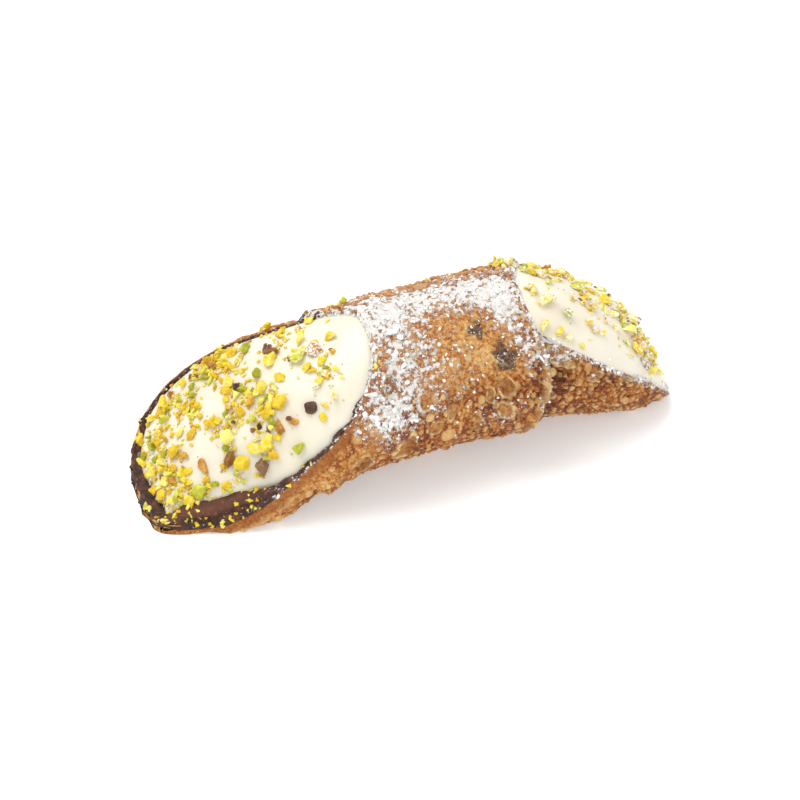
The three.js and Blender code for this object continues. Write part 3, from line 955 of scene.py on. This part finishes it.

# the larger ones and those on the rims, listed one by one: x, y from the axis, size
placedBits = {
    "pistachioGreen": [
        (-27, 1, 5.2), (-33, -15, 5.4), (-56, -9, 4.8), (-26, -8, 3.4), (-40.5, 3, 3.2), (-36.5, 4, 3.8),
        (-38, -2.5, 2.8), (-41, -4.5, 3.6), (38, 1, 2.8), (60, -5.5, 3.2), (60, -12, 3.2),
    ],
    "pistachioToasted": [
        (-31.5, 7, 4.4), (-23, 0, 4.6), (-54, -5.5, 4.2), (-48, -8, 4.2), (-61, -3, 3.4),
        (-57, -12, 3.4), (-54, 18.5, 3), (-40, -1, 3.4), (-36, -10, 3.6), (-33, -10.5, 3), (41, 9, 3.6),
        (57, -10, 3.2), (44.5, -12.5, 2.6),
    ],
    "pistachioSkin": [
        (-41.5, 5, 3), (-28.5, -11, 3.8), (-41.5, -13, 4.8), (-31.5, 8.5, 2.4), (54, 1, 3),
        (58, -3.5, 2.4), (57, -16, 3.6),
    ],
    "pistachioYellow": [
        (-58.5, 2.5, 5), (-65, 8.5, 3.2), (-64, 3.5, 3.6), (-62, 3.5, 3.4), (-66, 4.5, 3),
        (-65, -1, 3.4), (-64, -4, 3.6), (-63, -7, 3.2), (-64.5, -10, 2.8), (-63.5, -11.5, 2.6),
        (-67.5, -6, 2.4), (-66.5, -10.5, 2), (-63, -13, 2.2), (-44.5, -15.5, 3.6), (-48, -16, 1.8),
        (-52, -15, 2), (-54.5, -15, 1.8), (-45.5, -10, 4.8), (-38.5, -13, 3.6), (-59.5, 18, 3.4),
        (-56, 19, 3.8), (-32.5, 5, 4.2), (-25, 5, 3.6), (-23.5, -7, 3.4), (-23, -12, 4), (-36.5, 0, 4.4),
        (-34.5, -6, 4.2), (-38, -6, 4), (-49, 1, 4), (-47, -4, 4.4), (-51, 18, 3.2), (-44, 18.5, 3.2),
        (-38, 18.8, 3.4), (-35.5, 18.4, 2.6), (-29, 17.5, 3.2), (-24, 9, 3), (10, 10.5, 2.4),
        (32.5, -6.5, 4.6), (31.5, -3.5, 3.4), (34.5, -6, 3.4), (45, -4, 2.6), (50, 1, 2.6), (58, 0, 3.8),
        (55.5, -8.5, 4.2), (56, -13, 4.4), (62.5, -9.5, 4.2), (59, -16, 3.2), (43.5, -11, 3),
        (46, -13, 2.4), (30.5, -12.5, 3.4), (34, -14, 3.4), (31, 9, 3.4), (28.5, 6, 3), (40, 13.5, 3.2),
    ],
}


def unitBall(subdivisions):
    ball = bmesh.new()
    bmesh.ops.create_icosphere(ball, subdivisions=subdivisions, radius=1)
    points = np.array([v.co for v in ball.verts])
    faces = np.array([[v.index for v in f.verts] for f in ball.faces])
    ball.free()
    return points, faces


def cutTemplate(subdivisions):
    points, faces = unitBall(subdivisions)
    for _ in range(rng.integers(*bits["cuts"])):
        normal = rng.normal(size=3)
        normal /= np.linalg.norm(normal)
        over = np.maximum(points @ normal - rng.uniform(0.3, 0.75), 0)
        points = points - over[:, None] * normal
    points = points - points.mean(0)
    points = points / np.abs(points).max()
    crumbly = 0.2 * noise(points, 0.6, int(rng.integers(99)))
    crumbly = crumbly + 0.13 * noise(points, 0.25, int(rng.integers(99)))
    return points * (1 + crumbly)[:, None], faces


def standOn(normal, tilt):
    # a random turn about the surface's normal, then a tilt
    n = np.array(normal) + tilt * rng.normal(size=3)
    n /= np.linalg.norm(n)
    side = rng.normal(size=3)
    u = np.cross(side, n)
    u /= np.linalg.norm(u)
    return np.stack([u, np.cross(n, u), n], 1)


def joinCopies(copies):
    # copies: (points, faces, turn, centre, values)
    points, faces, fields, start = [], [], {}, 0
    for shape, sides, turn, centre, values in copies:
        placed = shape @ turn.T + centre
        points.append(placed)
        faces.append(sides + start)
        start += len(shape)
        for name, value in values.items():
            fields.setdefault(name, []).append(np.broadcast_to(value, len(shape)))
    fields = {name: np.concatenate(values) for name, values in fields.items()}
    return np.concatenate(points), np.concatenate(faces).tolist(), fields


def readAll(collection, name, width=1, kind=float):
    # one value, or a row of them, from every member of a mesh's collection
    values = np.empty(len(collection) * width, kind)
    collection.foreach_get(name, values)
    return values.reshape(-1, width) if width > 1 else values


def treeOf(pieces):
    # for finding where something lands on them
    points, faces = [], []
    for piece in pieces:
        start = len(points)
        points += [v.co for v in piece.data.vertices]
        faces += [[start + k for k in f.vertices] for f in piece.data.polygons]
    return BVHTree.FromPolygons(points, faces)


def dropPoint(tree, x, y):
    # lands something let go above x, y: where it rests and the surface's normal
    place, normal, _, _ = tree.ray_cast(Vector((x * mm, y * mm, 0.1)), Vector((0, 0, -1)))
    return (None, None) if place is None else (np.array(place) / mm, np.array(normal))


# where they fell thickest: x, y from the axis, spread along, spread across, how thick
nearHeaps = [
    (-48, 12, 6, 6, 1.1),
    (-53, 17, 6, 3, 1.0),
    (-63, 9, 3, 5, 1.2),
    (-64, 0, 3, 6, 1.9),
    (-66, -6, 3, 4, 2.6),
    (-61, -6, 3.5, 4, 1.6),
    (-60, -11, 5, 3, 2.4),
    (-50, -14, 6, 2.5, 0.7),
    (-50, -2, 4, 5, 0.9),
    (-42, -3, 6, 4.5, 1.2),
    (-37, -8, 4, 3.5, 0.9),
    (-40, 2, 4, 3, 0.6),
    (-30, 7, 5, 3.5, 0.9),
    (-24, -8, 3, 4, 0.6),
    (-40, 17, 10, 3, 1.3),
    (-26, 13, 8, 3, 1.0),
    (-50, 2, 14, 12, 0.1),
]
farHeaps = [
    (60, 0, 6, 14, 1.2),
    (64, -7, 4, 6, 1.2),
    (50, 8, 10, 5, 0.8),
    (44, 14, 18, 4, 1.0),
    (37, 8, 5, 5, 0.8),
    (46, -2, 5, 4, 0.5),
]

# by end: how many bits, x from and to, heaps, sugar on them, how far small ones outnumber large ones
scattered = {
    "near": (336, (-69, -10), nearHeaps, 0.0, 2.0),
    "far": (135, (27, 63.5), farHeaps, bits["dust"], 1.1),
}


def likelihood(heaps, x, y):
    # how thick they lie here; they stick together in small groups, and lie all over the near tip
    fromAxis = y - axisY
    piled = sum(much * np.exp(-(((x - midX) / long) ** 2) - (((fromAxis - midY) / wide) ** 2))
                for midX, midY, long, wide, much in heaps)
    grouped = smooth((noise(np.array([x, y, 0.0]), 4, 73) + 0.15) / 0.4)
    nearTip = smooth((-57 - x) / 4)
    return piled * min(1, 0.06 + 0.94 * float(grouped) + 0.45 * float(nearTip)) + 0.01


def rimPlaces(lining):
    # points and normals of the chocolate on the near rim, and how likely a crumb is there
    mesh = lining.data
    points = readAll(mesh.vertices, "co", 3) / mm - offset
    normals = readAll(mesh.vertices, "normal", 3)
    turned = np.degrees(np.arctan2(points[:, 2] - tube["axisHeight"], points[:, 1])) % 360
    likely = bell(turned, *bits["rimAngle"]) * (points[:, 0] < rimX("near", turned) + 0.6)
    likely = likely * (noise(points, 4.5, 75) > 0.05) * (points[:, 2] > 2.2)
    return points + offset, normals, likely / likely.sum()


def scatterBits(surface, lining, materials):
    fine, plain, tiny = ([cutTemplate(detail) for _ in range(bits["templates"])] for detail in (4, 3, 2))
    copies = {kind: [] for kind in [*kinds, "pistachioCrumbs"]}
    names = list(kinds)
    chances = np.array([kinds[k][0] for k in names]) / sum(kinds[k][0] for k in names)
    taken = np.zeros((0, 3))

    def settle(kind, x, y, size, flat, dusty, templates, sunk, most=1.6):
        # one that is larger than most may lie as low as 2 mm, the others no lower than their own size
        place, normal = dropPoint(surface, x, y)
        if place is None or normal[2] < 0.1 or place[2] < (2 if size > most else size):
            return None
        shape, sides = templates[rng.integers(len(templates))]
        stretch = size / 2 * np.array([1, rng.uniform(0.65, 0.95), flat * rng.uniform(0.8, 1.2)])
        centre = place + normal * stretch[2] * sunk
        patch = smooth((shape @ rng.normal(size=3) - 0.55) / 0.15)
        peel = patch * (rng.random() < bits["peeled"]) * (size > 2)
        values = {"tint": rng.random(), "dust": dusty * rng.random() ** 0.5, "peel": peel}
        copies[kind].append((shape * stretch, sides, standOn(normal, bits["tilt"]), centre, values))
        return place

    for kind, places in placedBits.items():
        for x, y, size in places:
            dusty = bits["dust"] * (1 if x > -28 else bits["cleanDust"])
            templates = fine if size > bits["fineAbove"]["placed"] else plain
            place = settle(kind, x, y + axisY, size, 0.7, dusty, templates, 0.6, 4)
            if place is not None:
                taken = np.vstack([taken, place])
    for count, ends, heaps, dusty, fall in scattered.values():
        done = 0
        while done < count:
            x, y = rng.uniform(*ends), rng.uniform(*bits["y"])
            kind = names[rng.choice(len(names), p=chances)]
            small, large = kinds[kind][1]
            size = small + (large - small) * rng.random() ** fall
            if rng.random() > likelihood(heaps, x, y):
                continue
            if np.hypot(taken[:, 0] - x, taken[:, 1] - y).min() < bits["spacing"] * size:
                continue
            templates = fine if size > bits["fineAbove"]["scattered"] else plain
            place = settle(kind, x, y, size, kinds[kind][2], dusty, templates, rng.uniform(*bits["sunk"]))
            if place is None:
                continue
            taken = np.vstack([taken, place])
            done += 1
    done = 0
    while done < bits["crumbCount"]:
        end = "near" if rng.random() < bits["crumbShare"] else "far"
        x, y = rng.uniform(*bits["crumbX"][end]), rng.uniform(*bits["y"])
        if rng.random() > likelihood(scattered[end][2], x, y):
            continue
        small, large = bits["crumbSizes"]
        size = small + (large - small) * rng.random() ** 2
        if settle("pistachioCrumbs", x, y, size, 0.7, 0.0, tiny, 0.4) is not None:
            done += 1
    points, normals, likely = rimPlaces(lining)
    small, large = bits["rimSizes"]
    for pick in rng.choice(len(points), bits["rimCount"], p=likely):
        size = small + (large - small) * rng.random() ** 1.8
        kind, templates = ("pistachioYellow", plain) if size > 1.5 else ("pistachioCrumbs", tiny)
        shape, sides = templates[rng.integers(bits["templates"])]
        stretch = size / 2 * np.array([1, rng.uniform(0.6, 0.95), 0.55])
        values = {"tint": rng.random(), "dust": 0.0, "peel": 0.0}
        centre = points[pick] + normals[pick] * stretch[2] * 0.5
        copies[kind].append((shape * stretch, sides, standOn(normals[pick], 0.4), centre, values))
    for kind, made in copies.items():
        points, faces, fields = joinCopies(made)
        makePiece(kind, points, faces, materials[kind], fields, shadeSmooth=False)


def choppedNut(name, shades):
    # Shelled pistachio chopped with a knife: soft waxy cut faces, its colour running from the pale
    # heart to the greener outside.
    material, tree = newMaterial(name)
    place = add(tree, "TexCoord")["Object"]
    tint = add(tree, "Attribute", attribute_name="tint")["Fac"]
    grain = add(tree, "TexNoise", {"Vector": place, "Scale": perMm(1.4), "Detail": 3.0})["Fac"]
    value = add(tree, "Math", {0: grain, 1: 1.5, 2: -0.75}, operation="MULTIPLY_ADD")[0]
    mixed = add(tree, "Math", {0: value, 1: tint}, operation="ADD")[0]
    low, middle, high = shades
    shade = add(tree, "ValToRGB", {"Fac": mixed}, stops=[(0.1, low), (0.5, middle), (0.95, high)])[0]
    speck = add(tree, "TexNoise", {"Vector": place, "Scale": perMm(0.6), "Detail": 3.0})["Fac"]
    dust = add(tree, "Attribute", attribute_name="dust")["Fac"]
    piled = add(tree, "Math", {0: dust, 1: 0.6, 2: speck}, operation="MULTIPLY_ADD")[0]
    cover = add(tree, "MapRange", {"Value": piled, "From Min": 0.68, "From Max": 0.82, "To Max": 0.85})[0]
    peel = add(tree, "Attribute", attribute_name="peel")["Fac"]
    partly = add(tree, "MixRGB", {"Fac": peel, "Color1": shade, "Color2": linear("#6b463a")})[0]
    surface = add(tree, "MixRGB", {"Fac": cover, "Color1": partly, "Color2": linear("#fffdfb")})[0]
    bump = add(tree, "Bump", {"Height": speck, "Strength": 0.8, "Distance": 0.3 * mm})[0]
    skin = add(tree, "BsdfPrincipled", {"Base Color": surface, "Roughness": 0.55, "IOR": 1.47, "Normal": bump,
                                        "Subsurface Weight": 0.3, "Subsurface Radius": (1.0, 0.9, 0.35),
                                        "Subsurface Scale": 0.9 * mm})
    add(tree, "OutputMaterial", {"Surface": skin[0]})
    return material


sugar = {
    # piece: how many, sizes in mm, how finely each is made
    "kinds": {"sugarClumps": (2400, (0.6, 1.6), 2), "sugarSpecks": (5000, (0.22, 0.6), 1)},
    "shapes": 14,  # different ones of each kind
    "roughness": 0.4,
    "flatness": 0.55,
    "tilt": 0.3,
    "strewn": 0.12,  # mm off its place
    "drifts": [(1.0, 1.9, 81), (0.5, 5, 82)],
}


def lumpShape(subdivisions):
    points, faces = unitBall(subdivisions)
    rough = 1 + sugar["roughness"] * noise(points * 3, 1.3, int(rng.integers(999)))
    return points * rough[:, None], faces


def sugared(piece):
    # a piece's points and normals, and how much of the sugar lies about each point
    mesh = piece.data
    points = readAll(mesh.vertices, "co", 3) / mm
    normals = readAll(mesh.vertices, "normal", 3)
    dust = np.clip(readAll(mesh.attributes["dust"].data, "value"), 0, 1)
    corners = readAll(mesh.polygons, "loop_total", kind=int)
    shares = np.repeat(readAll(mesh.polygons, "area") / corners, corners)
    area = np.bincount(readAll(mesh.loops, "vertex_index", kind=int), shares, len(mesh.vertices))
    drifted = smooth((layered(points, sugar["drifts"]) + 0.25) / 0.6)
    facing = smooth((normals[:, 2] + 0.45) / 0.4)
    return points, normals, dust, dust ** 1.4 * area * (0.06 + drifted) * facing


def scatterSugar(pieces, material):
    # clumps and specks lie wherever the dust field says sugar fell, in small drifts
    found = zip(*[sugared(piece) for piece in pieces])
    points, normals, dust, weight = (np.concatenate(values) for values in found)
    weight /= weight.sum()
    for name, (count, (small, large), subdivisions) in sugar["kinds"].items():
        shapes = [lumpShape(subdivisions) for _ in range(sugar["shapes"])]
        lumps = []
        for pick in rng.choice(len(points), count, p=weight):
            # finer towards the far end and where little of it lies
            finer = (0.5 + 0.5 * smooth((12 - points[pick][0]) / 22)) * smooth(dust[pick] / 0.6)
            radius = (small + (large - small) * rng.random() ** 1.5 * finer) / 2
            shape, sides = shapes[rng.integers(len(shapes))]
            stretch = radius * np.array([1, rng.uniform(0.55, 1), sugar["flatness"]])
            centre = points[pick] + normals[pick] * radius * 0.15 + rng.normal(size=3) * sugar["strewn"]
            lumps.append((shape * stretch, sides, standOn(normals[pick], sugar["tilt"]), centre, {}))
        made, faces, _ = joinCopies(lumps)
        makePiece(name, made, faces, material)


def icingSugar():
    # Milled sugar sifted on: its grains are too fine to see, so a clump is a dull, very white lump
    material, tree = newMaterial("icingSugar")
    place = add(tree, "TexCoord")["Object"]
    fine = add(tree, "TexNoise", {"Vector": place, "Scale": perMm(0.3), "Detail": 2.0})["Fac"]
    # their faint warm tint is painted light, bounced off the brown crust
    shade = add(tree, "ValToRGB", {"Fac": fine}, stops=[(0.3, "#fbf8f4"), (0.6, "#fffdfa")])[0]
    bump = add(tree, "Bump", {"Height": fine, "Strength": 0.5, "Distance": 0.08 * mm})[0]
    skin = add(tree, "BsdfPrincipled", {"Base Color": shade, "Roughness": 0.9, "IOR": 1.5, "Normal": bump})
    add(tree, "OutputMaterial", {"Surface": skin[0]})
    return material


shell = makeCrust(friedDough())
lining = makeLining(brushedChocolate())
filling = makeCream(ricottaCream())
landing = treeOf([shell, lining, filling])
nuts = {kind: choppedNut(kind, kinds[kind][3]) for kind in kinds}
nuts["pistachioCrumbs"] = choppedNut("pistachioCrumbs", ("#c8981a", "#e8cc38", "#f3e48c"))
scatterBits(landing, lining, nuts)
scatterSugar([shell, filling, lining], icingSugar())

studio = {
    "distance": 520,  # mm from the tube's middle
    "turn": 22.2,  # degrees to the left of straight in front
    "elevation": 40,
    "lens": 95.9,
    "shift": (-0.0075, -0.035),
    "middle": 20,  # height it looks at
    "key": 7.4,
    "lights": {  # place and size in m, and power as a share of the key
        "softbox": ((-0.3, 0.28, 1.0), 0.7, 1),
        "fill": ((0.3, -0.9, 0.6), 0.8, 0.3),
    },
    "sky": 0.7,
    "tableGlow": 0.32,  # light from under the white board, which keeps the shadow on it pale
}


def makeTable():
    bpy.ops.mesh.primitive_plane_add(size=3)
    table = bpy.context.object
    table.name = "table"
    material, tree = newMaterial("whiteBoard")
    skin = add(tree, "BsdfPrincipled", {"Base Color": linear("#f2f4f4"), "Roughness": 0.7,
                                        "Emission Color": linear("#f1f3f4"),
                                        "Emission Strength": studio["tableGlow"]})
    add(tree, "OutputMaterial", {"Surface": skin[0]})
    table.data.materials.append(material)


def makeLight(name, place, size, power):
    light = bpy.data.lights.new(name, "AREA")
    light.size = size
    light.energy = power
    lamp = bpy.data.objects.new(name, light)
    lamp.location = place
    lamp.rotation_euler = (-Vector(place)).to_track_quat("-Z", "Y").to_euler()
    bpy.context.collection.objects.link(lamp)


def makeCamera():
    turn, up = studio["turn"] * radians, studio["elevation"] * radians
    away = np.array([-math.sin(turn) * math.cos(up), -math.cos(turn) * math.cos(up), math.sin(up)])
    camera = bpy.data.cameras.new("camera")
    camera.lens = studio["lens"]
    camera.sensor_width = 36
    camera.shift_x, camera.shift_y = studio["shift"]
    camera.clip_start = 0.01
    stand = bpy.data.objects.new("camera", camera)
    target = np.array([0, axisY, studio["middle"]])
    stand.location = (target + away * studio["distance"]) * mm
    stand.rotation_euler = Vector(-away).to_track_quat("-Z", "Y").to_euler()
    bpy.context.collection.objects.link(stand)
    bpy.context.scene.camera = stand


makeTable()
for name, (place, size, share) in studio["lights"].items():
    makeLight(name, place, size, studio["key"] * share)
makeCamera()
world = bpy.data.worlds.new("studio")
world.use_nodes = True
background = world.node_tree.nodes["Background"]
background.inputs["Color"].default_value = (1, 1, 1, 1)
background.inputs["Strength"].default_value = studio["sky"]
bpy.context.scene.world = world
bpy.context.scene.view_settings.view_transform = "Standard"
